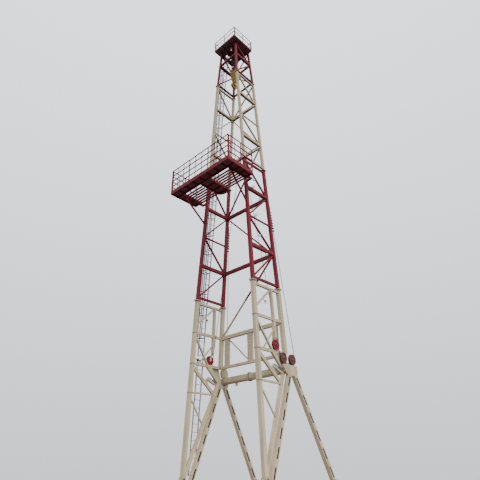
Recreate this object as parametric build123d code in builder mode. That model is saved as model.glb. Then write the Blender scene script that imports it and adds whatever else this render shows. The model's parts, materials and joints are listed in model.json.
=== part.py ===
"""Water well drilling rig: a three-sided lattice mast standing on a skid base.

The mast is open at the front (-Y). A raising frame behind it carries its back legs.
All sizes are in millimetres. +Z is up, and the origin lies on the underside of the skid base.
"""
from build123d import *
import os
from math import cos, radians, sin

os.makedirs("parts", exist_ok=True)

# Mast sections, from the feet up
foot_z = 1100
bottom_section = 9300
lower_section = 9000
upper_section = 9350
crown_section = 4150

# Half widths of the mast between leg centre lines
foot_half_width = 2730
bottom_joint_half_width = 2280
middle_joint_half_width = 1700
top_joint_half_width = 1100
mast_top_half_width = 830

# Leg centre lines, front and back
foot_front_y = -1350
bottom_joint_front_y = -1190
middle_joint_front_y = -980
top_joint_front_y = -910
mast_top_front_y = -730
back_y = 980
mast_top_back_y = 850

# Ring beams and struts, measured down from the top of their section
crown_ring_drop = 1700
upper_ring_drop = 2500
upper_strut_drop = 4920
upper_low_ring_drop = 7040
lower_ring_drop = 2460
lower_strut_drop = 4660
lower_low_ring_drop = 6700
portal_top_drop = 1940
portal_low_drop = 3680
foot_strut_drop = 5200
end_beam_drop = 185

# Tube sizes
crown_leg = 150
upper_leg = 170
lower_leg = 190
bottom_leg = 210
ring_beam = 200
end_beam = 130
portal_beam = 150
side_beam = 110
brace = 90
thin_brace = 70
pair_bar = 45
pair_spacing = 110

# Joint plates, leg bands and gussets
collar_thickness = 40
collar_margin = 55
band_thickness = 30
band_margin = 28
gusset_thickness = 20
gusset_reach = 230
gusset_height = 420

# Mast foot struts and back support
column_y = 270
column_width = 150
column_brace_drop = 1550
knee_brace_drop = 2100
knee_top_y = -60
knee_width = 130
knee_depth = 240
support_x = 2430
support_y = 790
support_below_portal = 820
support_pin = 120
strut_width = 130
strut_depth = 200
high_brace_drop = 3800
high_brace_depth = 180
low_brace_drop = 5350
low_brace_end = 6800
cross_brace_y = -820
cross_brace_rise = 1250

# Buffer cylinders below the knees
buffer_front_y = -100
buffer_rear_y = 470
buffer_front_drop = 710
buffer_rear_drop = 950
buffer_diameter = 130
buffer_rod = 60
buffer_reach = 230

# Portal behind the well centre
portal_post_x = 1880
portal_post_width = 360
portal_post_depth = 120

# Raising frame behind the mast
frame_x = 2590
head_y = 1290
head_above_support = 50
head_top = 220
head_drop = 300
head_nose = 730
head_thickness = 150
head_corner = 60
cross_tube_y = 1350
cross_tube_rise = 80
cross_tube_diameter = 400
tube_flange = 50
tube_flange_joint_x = -430
tube_stub_x = -1490
frame_leg_width = 220
frame_leg_depth = 240
front_leg_offset = 290
rear_leg_offset = 200
front_leg_foot_y = -930
rear_leg_foot_y = 4000
frame_foot_z = 900
frame_foot_x = 2660
leg_slot_width = 60
leg_slot_depth = 40
leg_slot_count = 6

# Guide sheaves: X, Y and the height above the portal's lower beam or the frame head
guide_radius = 270
guide_width = 96
guide_bore = 40
mast_guide_x = 2520
mast_guide_y = 150
mast_guide_rise = 350
front_guide_y = 640
rear_guide_y = 1400
frame_guide_rise = 310
pin_clearance = 0.3
sheave_clearance = 6
guide_plate = 20
guide_eye = 60
guide_guard = 285
guide_hanger_width = 150
guide_seat = 400
column_foot_rise = 390
washer_thickness = 12

# Ropes
rope_diameter = 32
rope_sides = 8
anchor_drop = 3400
anchor_reach = 120
anchor_plate = 40
anchor_height = 400
yoke_y = 600
yoke_drop = 410
yoke_half_width = 150
yoke_height = 100
yoke_depth = 60
hanger_width = 120
hanger_depth = 30
rope_seat = 10
rope_ease = 4

# Skid base
skid_height = 500
skid_width = 440
skid_x = 2720
skid_front_y = -2400
skid_back_y = 4900
skid_flange = 50
skid_web = 60
skid_nose = 450
stiffener = 30
cross_beam_width = 300
cross_beam_flange = 40
front_beam_inset = 300
shoe_length = 360
shoe_margin = 80
shoe_lug = 40
shoe_lug_gap = 16
shoe_lug_above = 150

# Racking board
board_drop = 2100
board_depth = 150
board_half_width = 2720
board_front_y = -3550
board_rear_y = -1320
walk_width = 650
tongue_half_width = 460
tongue_end_y = -1280
tongue_bulge = 230
deck_thickness = 30
board_edge = 50
joist = 50
rail_height = 1830
rail_pitch = 440
rail_tube = 50
thin_post = 30
toe_board_height = 150
toe_board_thickness = 12
finger_count = 7
finger_width = 80
finger_depth = 100
finger_tip_x = 560
board_strut_foot_drop = 3750
board_strut_head_y = -2600

# Crown
platform_half_width = 1210
platform_front_y = -1260
platform_back_y = 950
platform_rise = 150
platform_thickness = 60
platform_skirt = 25
platform_skirt_depth = 120
platform_joist = 60
platform_joist_depth = 90
hatch_inner_x = 620
hatch_outer_x = 1150
hatch_half_length = 350
crown_rail_height = 1120
crown_rail_tube = 45
crown_beam_x = 330
crown_beam_width = 100
crown_beam_depth = 450
crown_shaft_drop = 450
crown_shaft_radius = 55
crown_sheave_radius = 250
crown_sheave_count = 4
crown_pitch = 110
crown_sheave_width = 80

# Travelling block and hook
block_sheave_drop = 2300
block_sheave_radius = 250
block_shaft_radius = 50
block_top_rise = 1050
block_foot_drop = 900
block_foot_height = 150
block_cheek = 40
block_cheek_gap = 5
block_radius = 290
block_top_radius = 90
block_foot_radius = 70
line_diameter = 24
barrel_radius = 110
barrel_height = 200
barrel_ring = 150
hook_depth = 160
hook_radius = 300
hook_throat = 140
hook_drop = 690
hook_shift = 100
hook_gap = 130
hook_shank = 160
latch_width = 50
latch_thickness = 30
latch_rise = 200

# Ladder outside the left side
ladder_from_leg = 800
ladder_offset = 250
ladder_gap = 420
ladder_foot_z = 1300
ladder_above_platform = 1000
ladder_stile = 50
ladder_rung = 25
ladder_hold = 40
rung_pitch = 400

LEFT = -1
RIGHT = 1

bottom_joint_z = foot_z + bottom_section
middle_joint_z = bottom_joint_z + lower_section
top_joint_z = middle_joint_z + upper_section
mast_top_z = top_joint_z + crown_section

crown_ring_z = mast_top_z - crown_ring_drop
upper_ring_z = top_joint_z - upper_ring_drop
upper_strut_z = top_joint_z - upper_strut_drop
upper_low_ring_z = top_joint_z - upper_low_ring_drop
lower_ring_z = middle_joint_z - lower_ring_drop
lower_strut_z = middle_joint_z - lower_strut_drop
lower_low_ring_z = middle_joint_z - lower_low_ring_drop
portal_top_z = bottom_joint_z - portal_top_drop
portal_low_z = bottom_joint_z - portal_low_drop
foot_strut_z = bottom_joint_z - foot_strut_drop

support_z = portal_low_z - support_below_portal
head_z = support_z + head_above_support
head_top_z = head_z + head_top
head_foot_z = head_z - head_drop
head_inner_x = frame_x - head_thickness / 2

mast_guide = (mast_guide_x, mast_guide_y, portal_low_z + mast_guide_rise)
front_guide = (frame_x, front_guide_y, head_top_z + frame_guide_rise)
rear_guide = (frame_x, rear_guide_y, head_top_z + frame_guide_rise)
guide_gap = guide_width / 2 + sheave_clearance

stations = [
    (foot_z, foot_half_width, foot_front_y, back_y),
    (bottom_joint_z, bottom_joint_half_width, bottom_joint_front_y, back_y),
    (middle_joint_z, middle_joint_half_width, middle_joint_front_y, back_y),
    (top_joint_z, top_joint_half_width, top_joint_front_y, back_y),
    (mast_top_z, mast_top_half_width, mast_top_front_y, mast_top_back_y),
]


def leg_point(side, face, z):
    """A point on a leg's centre line at height z; face is "front" or "back"."""
    for low, high in zip(stations, stations[1:]):
        if z <= high[0]:
            break
    share = (z - low[0]) / (high[0] - low[0])
    column = 2 if face == "front" else 3
    x = low[1] + share * (high[1] - low[1])
    y = low[column] + share * (high[column] - low[column])
    return Vector(side * x, y, z)


def side_x(z):
    """Half width of the mast between leg centre lines at height z."""
    return leg_point(RIGHT, "front", z).X


def in_side(side, y, z):
    """A point in the plane of a mast side."""
    return Vector(side * side_x(z), y, z)


def along(start, end, z):
    """The point at height z on the line between two points."""
    return start + (end - start) * ((z - start.Z) / (end.Z - start.Z))


def block(low, high):
    """A box between two corners."""
    with BuildSketch(Plane.XY.offset(low[2]), mode=Mode.PRIVATE) as section:
        with Locations(((low[0] + high[0]) / 2, (low[1] + high[1]) / 2)):
            Rectangle(high[0] - low[0], high[1] - low[1])
    return extrude(section.sketch, amount=high[2] - low[2], mode=Mode.PRIVATE)


def side_block(side, near, far, low_y, high_y, low_z, high_z):
    """A box on one side of the rig; near and far are distances from the centre plane."""
    low_x, high_x = sorted((side * near, side * far))
    return block((low_x, low_y, low_z), (high_x, high_y, high_z))


def rod(start, end, radius):
    """A round bar between two points."""
    run = Vector(end) - Vector(start)
    with BuildSketch(Plane(origin=start, z_dir=run), mode=Mode.PRIVATE) as section:
        Circle(radius)
    return extrude(section.sketch, amount=run.length, mode=Mode.PRIVATE)


def side_rod(side, near, far, y, z, radius):
    """A round bar along X on one side of the rig."""
    return rod((side * near, y, z), (side * far, y, z), radius)


def post(start, end, width, depth=None):
    """An upright tube whose ends are cut level."""
    run = Vector(end) - Vector(start)
    with BuildSketch(Plane(origin=start), mode=Mode.PRIVATE) as section:
        Rectangle(width, depth or width)
    return extrude(section.sketch, amount=run.length, dir=run.normalized(), mode=Mode.PRIVATE)


def bar(start, end, width, depth=None):
    """A leaning or level tube, square to its own run."""
    run = Vector(end) - Vector(start)
    level = Vector(0, 0, 1).cross(run)
    with BuildSketch(Plane(origin=start, x_dir=level, z_dir=run), mode=Mode.PRIVATE) as section:
        Rectangle(width, depth or width)
    return extrude(section.sketch, amount=run.length, mode=Mode.PRIVATE)


def bar_pair(start, end):
    """Two flat bars side by side, spaced across a mast side."""
    shift = Vector((pair_spacing - pair_bar) / 2, 0, 0)
    return [bar(start + s * shift, end + s * shift, pair_bar, brace) for s in (-1, 1)]


def eye_plate(side, near, far, pin, eye_radius, seat_y, seat_z, seat_width):
    """A plate across X with a round eye at the pin, joined by tangents to its seat."""
    stands = Align.MIN if seat_z < pin[1] else Align.MAX
    with BuildSketch(Plane.YZ.offset(min(side * near, side * far)), mode=Mode.PRIVATE) as section:
        with Locations(pin):
            Circle(eye_radius)
        with Locations((seat_y, seat_z)):
            Rectangle(seat_width, guide_plate, align=(Align.CENTER, stands))
        make_hull()
    return extrude(section.sketch, amount=far - near, mode=Mode.PRIVATE)


def save(part, name):
    part.label = name
    export_step(part, "parts/" + name + ".step")


def side_name(side):
    return "left" if side == LEFT else "right"


# Mast side lattices
def leg(side, face, low_z, high_z, width):
    return post(leg_point(side, face, low_z), leg_point(side, face, high_z), width)


def side_bar(side, from_face, from_z, to_face, to_z, width, depth=None):
    return bar(leg_point(side, from_face, from_z), leg_point(side, to_face, to_z), width, depth)


def leg_plate(side, face, low_z, high_z, half):
    """A square plate round a leg."""
    place = leg_point(side, face, (low_z + high_z) / 2)
    return block((place.X - half, place.Y - half, low_z), (place.X + half, place.Y + half, high_z))


def gusset(corner, inward, across):
    """A tapered plate at a node; inward points from the leg into the panel."""
    with BuildSketch(Plane(origin=corner, x_dir=inward, z_dir=across), mode=Mode.PRIVATE) as section:
        with BuildLine():
            Polyline(
                (0, -gusset_height / 2), (gusset_reach, -gusset_height / 5),
                (gusset_reach, gusset_height / 5), (0, gusset_height / 2), close=True,
            )
        make_face()
    return extrude(section.sketch, amount=gusset_thickness / 2, both=True, mode=Mode.PRIVATE)


def lattice_side(side, low_z, high_z, width, rings, struts, zigzag, top_collar=True):
    """Two legs with joint plates, end beams, ring beams, light struts and a zigzag of braces."""
    half = width / 2 + collar_margin
    pieces = []
    for face in ("front", "back"):
        pieces.append(leg(side, face, low_z, high_z, width))
        pieces.append(leg_plate(side, face, low_z, low_z + collar_thickness, half))
        if top_collar:
            pieces.append(leg_plate(side, face, high_z - collar_thickness, high_z, half))
    for z in (low_z + end_beam_drop, high_z - end_beam_drop):
        pieces.append(side_bar(side, "front", z, "back", z, end_beam))
    for z in rings:
        pieces.append(side_bar(side, "front", z, "back", z, ring_beam))
        pieces.append(gusset(leg_point(side, "back", z) - Vector(0, width / 2, 0), (0, -1, 0), (1, 0, 0)))
    for z in struts:
        pieces.append(side_bar(side, "front", z, "back", z, brace))
        pieces.append(gusset(leg_point(side, "front", z) + Vector(0, width / 2, 0), (0, 1, 0), (1, 0, 0)))
    for (from_face, from_z), (to_face, to_z) in zip(zigzag, zigzag[1:]):
        if from_face == "front":
            pieces += bar_pair(leg_point(side, from_face, from_z), leg_point(side, to_face, to_z))
        else:
            pieces.append(side_bar(side, from_face, from_z, to_face, to_z, brace))
    return pieces


def anchor_point(side):
    """Where a raising line is made fast, behind the back leg."""
    return leg_point(side, "back", middle_joint_z - anchor_drop) + Vector(0, lower_leg / 2 + anchor_reach, 0)


crown_zigzag = [
    ("front", mast_top_z - end_beam_drop),
    ("back", crown_ring_z),
    ("front", top_joint_z + end_beam_drop),
]
upper_zigzag = [
    ("front", top_joint_z - end_beam_drop),
    ("back", upper_ring_z),
    ("front", upper_strut_z),
    ("back", upper_low_ring_z),
    ("front", middle_joint_z + end_beam_drop),
]
lower_zigzag = [
    ("front", middle_joint_z - end_beam_drop),
    ("back", lower_ring_z),
    ("front", lower_strut_z),
    ("back", lower_low_ring_z),
    ("front", bottom_joint_z + end_beam_drop),
]

crown_sides = []
upper_sides = []
lower_sides = []
for side in (LEFT, RIGHT):
    with BuildPart() as crown_side:
        add(
            lattice_side(
                side, top_joint_z, mast_top_z, crown_leg, [crown_ring_z], [], crown_zigzag, top_collar=False,
            )
        )
    save(crown_side.part, "crown_section_" + side_name(side))
    crown_sides.append(crown_side.part)

    with BuildPart() as upper_side:
        add(
            lattice_side(
                side, middle_joint_z, top_joint_z, upper_leg,
                [upper_ring_z, upper_low_ring_z], [upper_strut_z], upper_zigzag,
            )
        )
    save(upper_side.part, "mast_upper_" + side_name(side))
    upper_sides.append(upper_side.part)

    with BuildPart() as lower_side:
        add(
            lattice_side(
                side, bottom_joint_z, middle_joint_z, lower_leg,
                [lower_ring_z, lower_low_ring_z], [lower_strut_z], lower_zigzag,
            )
        )
        with Locations(anchor_point(side)):
            Box(
                anchor_plate, anchor_reach + rope_diameter, anchor_height,
                align=(Align.CENTER, Align.MAX, Align.MIN),
            )
    save(lower_side.part, "mast_lower_" + side_name(side))
    lower_sides.append(lower_side.part)


# Mast bottom sides: legs, portal beams, column, knee, back strut and buffer cylinder
def mast_bottom(side):
    top_beam_z = bottom_joint_z - end_beam_drop
    column_foot_z = mast_guide[2] + column_foot_rise
    collar_half = bottom_leg / 2 + collar_margin
    band_half = bottom_leg / 2 + band_margin
    support = Vector(side * support_x, support_y, support_z)
    foot = leg_point(side, "front", foot_z)
    knee_top = in_side(side, knee_top_y, portal_low_z)
    high_brace_start = leg_point(side, "front", bottom_joint_z - high_brace_drop)
    high_brace_end = along(support, foot, foot_strut_z)
    pieces = [
        leg(side, "front", foot_z, bottom_joint_z, bottom_leg),
        leg(side, "back", portal_low_z, bottom_joint_z, bottom_leg),
        side_bar(side, "front", top_beam_z, "back", top_beam_z, end_beam),
        side_bar(side, "front", portal_top_z, "back", portal_top_z, side_beam, portal_beam),
        side_bar(side, "front", portal_low_z, "back", portal_low_z, side_beam, portal_beam),
        post(in_side(side, column_y, column_foot_z), in_side(side, column_y, top_beam_z), column_width),
        bar(
            in_side(side, column_y, top_beam_z),
            in_side(side, bottom_joint_front_y, bottom_joint_z - column_brace_drop), brace,
        ),
        bar(
            in_side(side, cross_brace_y, portal_low_z),
            in_side(side, column_y, portal_low_z + cross_brace_rise), thin_brace,
        ),
        bar(knee_top, support, knee_width, knee_depth),
        bar(support, foot, strut_width, strut_depth),
        bar(high_brace_start, high_brace_end, side_beam, high_brace_depth),
        bar(leg_point(side, "front", foot_strut_z), high_brace_end, brace),
        bar(
            leg_point(side, "front", bottom_joint_z - low_brace_drop),
            along(support, foot, bottom_joint_z - low_brace_end), thin_brace,
        ),
        side_rod(side, support_x, head_inner_x, support_y, support_z, support_pin / 2),
    ]
    pieces += bar_pair(in_side(side, bottom_joint_front_y, bottom_joint_z - knee_brace_drop), knee_top)
    for face in ("front", "back"):
        pieces.append(
            leg_plate(side, face, bottom_joint_z - collar_thickness, bottom_joint_z, collar_half)
        )
    for z in (portal_top_z, portal_low_z, foot_strut_z):
        pieces.append(leg_plate(side, "front", z - band_thickness / 2, z + band_thickness / 2, band_half))

    # Buffer cylinder, from a lug on the high brace to the back strut
    buffer_x = high_brace_start.X
    front = Vector(buffer_x, buffer_front_y, portal_low_z - buffer_front_drop)
    rear = Vector(buffer_x, buffer_rear_y, portal_low_z - buffer_rear_drop)
    run = (rear - front).normalized()
    pieces.append(rod(front, rear, buffer_diameter / 2))
    pieces.append(rod(rear, rear + run * buffer_reach, buffer_rod / 2))
    share = (front.Y - high_brace_start.Y) / (high_brace_end.Y - high_brace_start.Y)
    lug_foot = high_brace_start + (high_brace_end - high_brace_start) * share
    pieces.append(post(lug_foot, front, side_beam / 2, buffer_diameter))

    # Guide sheave's hanger under the column
    x, y, z = mast_guide
    near = x - guide_gap - guide_plate
    pieces.append(
        eye_plate(side, near, x - guide_gap, (y, z), guide_eye, column_y, column_foot_z, guide_hanger_width)
    )
    pieces.append(side_rod(side, near, x + guide_gap + washer_thickness, y, z, guide_bore))
    pieces.append(side_rod(side, x + guide_gap, x + guide_gap + washer_thickness, y, z, guide_eye))
    return pieces


bottom_sides = []
for side in (LEFT, RIGHT):
    with BuildPart() as bottom_side:
        add(mast_bottom(side))
        split(bisect_by=Plane.XY.offset(foot_z), keep=Keep.TOP)
    save(bottom_side.part, "mast_bottom_" + side_name(side))
    bottom_sides.append(bottom_side.part)


# Mast back bracing, cut where it meets the sides
def back_bar(left_z, right_z, width, face="back"):
    return bar(leg_point(LEFT, face, left_z), leg_point(RIGHT, face, right_z), width)


def back_gussets(z, width):
    """Plates in the back plane, inside both back legs."""
    plates = []
    for side in (LEFT, RIGHT):
        corner = leg_point(side, "back", z) - Vector(side * width / 2, 0, 0)
        plates.append(gusset(corner, (-side, 0, 0), (0, 1, 0)))
    return plates


def crossing(right_z, left_z, z):
    """Where a back brace from the right leg to the left leg passes the height z."""
    return along(leg_point(RIGHT, "back", right_z), leg_point(LEFT, "back", left_z), z)


middle_crossing = crossing(upper_low_ring_z, lower_ring_z, middle_joint_z)
bottom_crossing = crossing(lower_low_ring_z, portal_top_z, bottom_joint_z)

with BuildPart() as crown_bracing:
    add(
        [
            back_bar(crown_ring_z, crown_ring_z, portal_beam),
            back_bar(crown_ring_z, crown_ring_z, portal_beam, "front"),
            back_bar(top_joint_z + end_beam_drop, top_joint_z + end_beam_drop, end_beam),
            back_bar(crown_ring_z, mast_top_z - end_beam_drop, thin_brace),
            back_bar(crown_ring_z, top_joint_z + end_beam_drop, thin_brace),
        ]
    )
    add(crown_sides, mode=Mode.SUBTRACT)
save(crown_bracing.part, "crown_section_bracing")

with BuildPart() as upper_back:
    add(
        [
            back_bar(upper_ring_z, upper_ring_z, ring_beam),
            back_bar(upper_low_ring_z, upper_low_ring_z, ring_beam),
            back_bar(upper_ring_z, top_joint_z - end_beam_drop, brace),
            back_bar(upper_ring_z, upper_low_ring_z, brace),
            post(middle_crossing, leg_point(RIGHT, "back", upper_low_ring_z), brace * 1.2, brace),
        ]
    )
    add(back_gussets(upper_ring_z, upper_leg))
    add(back_gussets(upper_low_ring_z, upper_leg))
    add(upper_sides, mode=Mode.SUBTRACT)
save(upper_back.part, "mast_upper_back")

with BuildPart() as lower_back:
    add(
        [
            back_bar(lower_ring_z, lower_ring_z, ring_beam),
            back_bar(lower_low_ring_z, lower_low_ring_z, ring_beam),
            post(leg_point(LEFT, "back", lower_ring_z), middle_crossing, brace * 1.2, brace),
            back_bar(lower_ring_z, lower_low_ring_z, brace),
            post(bottom_crossing, leg_point(RIGHT, "back", lower_low_ring_z), brace * 1.2, brace),
        ]
    )
    add(back_gussets(lower_ring_z, lower_leg))
    add(back_gussets(lower_low_ring_z, lower_leg))
    add(lower_sides, mode=Mode.SUBTRACT)
save(lower_back.part, "mast_lower_back")

with BuildPart() as bottom_back:
    add(
        [
            back_bar(portal_top_z, portal_top_z, ring_beam),
            back_bar(portal_low_z, portal_low_z, portal_beam),
            post(leg_point(LEFT, "back", portal_top_z), bottom_crossing, brace * 1.2, brace),
            bar((-portal_post_x, back_y, portal_top_z), (0, back_y, portal_low_z), thin_brace),
        ]
    )
    for x in (-portal_post_x, 0, portal_post_x):
        add(post((x, back_y, portal_low_z), (x, back_y, portal_top_z), portal_post_width, portal_post_depth))
    add(bottom_sides, mode=Mode.SUBTRACT)
save(bottom_back.part, "mast_bottom_back")

# Crown beams, with the sheaves' shaft and its distance pieces
platform_z = mast_top_z + platform_rise
crown_shaft_z = mast_top_z - crown_shaft_drop
crown_xs = [(i - (crown_sheave_count - 1) / 2) * crown_pitch for i in range(crown_sheave_count)]
crown_pack = crown_xs[-1] + crown_sheave_width / 2
with BuildPart() as crown_beams:
    for face_y in (mast_top_front_y, mast_top_back_y):
        half = mast_top_half_width + crown_leg / 2
        add(
            block(
                (-half, face_y - crown_leg / 2, mast_top_z), (half, face_y + crown_leg / 2, platform_z),
            )
        )
    for side in (LEFT, RIGHT):
        beam_face = crown_beam_x - crown_beam_width / 2
        add(
            side_block(
                side, beam_face, crown_beam_x + crown_beam_width / 2,
                mast_top_front_y + crown_leg / 2, mast_top_back_y - crown_leg / 2,
                mast_top_z - crown_beam_depth, platform_z,
            )
        )
        add(side_rod(side, crown_pack + sheave_clearance, beam_face, 0, crown_shaft_z, 2 * crown_shaft_radius))
    add(rod((-crown_beam_x, 0, crown_shaft_z), (crown_beam_x, 0, crown_shaft_z), crown_shaft_radius))
save(crown_beams.part, "crown_beams")


def sheave(center, radius, width, bore, rope, dished=True):
    """A grooved sheave whose axle runs along X; a dished one has a rim, a web and a hub."""
    seat = radius - rope - 18
    throat = rope / 2 + 7
    groove = [(seat, -throat), (seat, throat)]
    near_face = [(bore, -width / 2), (radius, -width / 2)]
    if dished:
        hub = bore + 50
        rim = seat - 25
        web = width * 0.36
        near_face[1:1] = [(hub, -width / 2), (hub, -web), (rim, -web), (rim, -width / 2)]
    far_face = [(r, -x) for r, x in reversed(near_face)]
    plane = Plane(origin=center, x_dir=(0, 0, 1), z_dir=(0, 1, 0))
    with BuildSketch(plane, mode=Mode.PRIVATE) as section:
        with BuildLine():
            Polyline(*near_face, *groove, *far_face, close=True)
        make_face()
    return revolve(section.sketch, axis=Axis(center, (1, 0, 0)), mode=Mode.PRIVATE)


def rope_radius(radius, rope):
    """Radius of a rope's centre line round a sheave."""
    return radius - rope - 18 + rope / 2 + pin_clearance


def sheave_pack(z, radius, bore):
    return [sheave((x, 0, z), radius, crown_sheave_width, bore, line_diameter, dished=False) for x in crown_xs]


with BuildPart() as crown_sheaves:
    add(sheave_pack(crown_shaft_z, crown_sheave_radius, crown_shaft_radius))
save(crown_sheaves.part, "crown_sheaves")

# Crown platform: floor, skirt, joists and the ladder's hatch
skirt_z = platform_z - platform_skirt_depth
joist_z = platform_z - platform_joist_depth
skirt_x = platform_half_width - platform_skirt
skirt_front_y = platform_front_y + platform_skirt
floor_top_z = platform_z + platform_thickness
ladder_head_y = mast_top_front_y + ladder_from_leg
hatch_low_y = ladder_head_y - hatch_half_length
hatch_high_y = ladder_head_y + hatch_half_length
with BuildPart() as platform:
    for side in (LEFT, RIGHT):
        add(
            side_block(side, skirt_x, platform_half_width, platform_front_y, platform_back_y, skirt_z, platform_z)
        )
        for y in (hatch_low_y - platform_joist, hatch_high_y):
            add(
                side_block(
                    side, crown_beam_x + crown_beam_width / 2, skirt_x, y, y + platform_joist, joist_z, platform_z,
                )
            )
        for x in (crown_beam_x, mast_top_half_width):
            add(
                side_block(
                    side, x - platform_joist / 2, x + platform_joist / 2,
                    skirt_front_y, mast_top_front_y - crown_leg / 2, joist_z, platform_z,
                )
            )
    add(block((-skirt_x, platform_front_y, skirt_z), (skirt_x, skirt_front_y, platform_z)))
    add(block((-skirt_x, platform_back_y - platform_skirt, skirt_z), (skirt_x, platform_back_y, platform_z)))
    add(
        block(
            (-platform_half_width, platform_front_y, platform_z),
            (platform_half_width, platform_back_y, floor_top_z),
        )
    )
    add(
        block((-hatch_outer_x, hatch_low_y, platform_z), (-hatch_inner_x, hatch_high_y, floor_top_z)),
        mode=Mode.SUBTRACT,
    )
save(platform.part, "crown_platform")


def rail_panel(start, end, foot, top, rail_heights, post_count, tube, inset=0):
    """A straight guard rail: upright posts and level rails between two points in plan."""
    run = (Vector(end) - Vector(start)).normalized()
    a = Vector(start) + run * inset
    b = Vector(end) - run * inset
    pieces = []
    for i in range(post_count):
        p = a + (b - a) * (i / (post_count - 1))
        pieces.append(post((p.X, p.Y, foot), (p.X, p.Y, top), tube))
    for z in rail_heights:
        pieces.append(bar((a.X, a.Y, z - tube / 2), (b.X, b.Y, z - tube / 2), tube))
    return pieces


crown_rail_x = platform_half_width - crown_rail_tube / 2
crown_rail_front_y = platform_front_y + crown_rail_tube / 2
crown_rail_back_y = platform_back_y - crown_rail_tube / 2
crown_rail_top_z = platform_z + crown_rail_height
crown_rail_heights = (crown_rail_top_z, (floor_top_z + crown_rail_top_z) / 2)
with BuildPart() as crown_rails:
    for y in (crown_rail_front_y, crown_rail_back_y):
        add(
            rail_panel(
                (-crown_rail_x, y, 0), (crown_rail_x, y, 0), floor_top_z, crown_rail_top_z,
                crown_rail_heights, 3, crown_rail_tube,
            )
        )
    for x in (-crown_rail_x, crown_rail_x):
        add(
            rail_panel(
                (x, crown_rail_front_y, 0), (x, crown_rail_back_y, 0), floor_top_z, crown_rail_top_z,
                crown_rail_heights, 3, crown_rail_tube, inset=crown_rail_tube * 2,
            )
        )
save(crown_rails.part, "crown_rails")

# Reeving lines between the crown and the travelling block
block_sheave_z = crown_shaft_z - block_sheave_drop
line_radius = rope_radius(block_sheave_radius, line_diameter)
with BuildPart() as reeving:
    for x in crown_xs:
        for y in (-line_radius, line_radius):
            add(post((x, y, block_sheave_z), (x, y, crown_shaft_z), line_diameter))
save(reeving.part, "reeving_lines")

# Travelling block: rounded cheeks, sheaves on their shaft, a top pin and a foot for the hook
cheek_x = crown_sheave_count * crown_pitch / 2 + block_cheek_gap
cheek_outer_x = cheek_x + block_cheek
block_top_z = block_sheave_z + block_top_rise
block_foot_z = block_sheave_z - block_foot_drop
block_top_pin_z = block_top_z - block_top_radius
with BuildPart() as travelling_block:
    for side in (LEFT, RIGHT):
        with BuildSketch(Plane.YZ.offset(min(side * cheek_x, side * cheek_outer_x))):
            with Locations((0, block_sheave_z)):
                Circle(block_radius)
            with Locations((0, block_top_pin_z)):
                Circle(block_top_radius)
            with Locations((0, block_foot_z + block_foot_radius)):
                Circle(block_foot_radius)
            make_hull()
        extrude(amount=block_cheek)
        add(side_rod(side, cheek_outer_x, cheek_outer_x + block_cheek / 2, 0, block_sheave_z, block_radius / 3))
    add(sheave_pack(block_sheave_z, block_sheave_radius, block_shaft_radius))
    add(rod((-cheek_x, 0, block_sheave_z), (cheek_x, 0, block_sheave_z), block_shaft_radius))
    add(rod((-cheek_x, 0, block_top_pin_z), (cheek_x, 0, block_top_pin_z), block_top_radius / 2))
    block_foot_top_z = block_foot_z + block_foot_height
    add(block((-cheek_x, -block_foot_radius, block_foot_z), (cheek_x, block_foot_radius, block_foot_top_z)))
save(travelling_block.part, "travelling_block")

# Hook: swivel barrel with a lock ring, shank, bowl and a latch across the throat
hook_top_z = block_foot_z - pin_clearance
barrel_foot_z = hook_top_z - barrel_height
bowl = Vector(-hook_shift, hook_top_z - hook_drop)
with BuildPart() as hook:
    add(rod((0, 0, barrel_foot_z), (0, 0, hook_top_z), barrel_radius))
    add(rod((0, 0, barrel_foot_z), (0, 0, barrel_foot_z + barrel_height / 4), barrel_ring))
    with BuildSketch(Plane.YZ.offset(-hook_depth / 2)):
        with Locations(bowl):
            Circle(hook_radius)
        with Locations((0, barrel_foot_z)):
            Rectangle(hook_shank, barrel_foot_z - bowl.Y, align=(Align.CENTER, Align.MAX))
        with Locations(bowl):
            Circle(hook_throat, mode=Mode.SUBTRACT)
        with Locations(Location((bowl.X, bowl.Y), 145)):
            Rectangle(
                hook_radius + hook_gap, hook_gap, align=(Align.MIN, Align.CENTER), mode=Mode.SUBTRACT,
            )
    extrude(amount=hook_depth)
    tip = bowl + Vector(-(hook_radius + hook_throat) / 2, 0)
    add(
        bar(
            (0, bowl.X, bowl.Y + latch_rise), (0, tip.X, tip.Y + latch_thickness / 2),
            latch_width, latch_thickness,
        )
    )
save(hook.part, "hook")

# Racking board: decks on joists, open to the mast
board_z = middle_joint_z - board_drop
board_top_z = board_z + board_depth
walk_inner_x = board_half_width - walk_width
walk_inner_y = board_front_y + walk_width


def bays(low_x, high_x, low_y, high_y, count, lengthways):
    """Pockets between joists, cut from below into a deck."""
    pockets = []
    length = (high_x - low_x if lengthways else high_y - low_y) + joist
    for i in range(count):
        start = i * length / count
        end = (i + 1) * length / count - joist
        if lengthways:
            low, high = (low_x + start, low_y), (low_x + end, high_y)
        else:
            low, high = (low_x, low_y + start), (high_x, low_y + end)
        pockets.append(block((*low, board_z), (*high, board_top_z - deck_thickness)))
    return pockets


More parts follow.
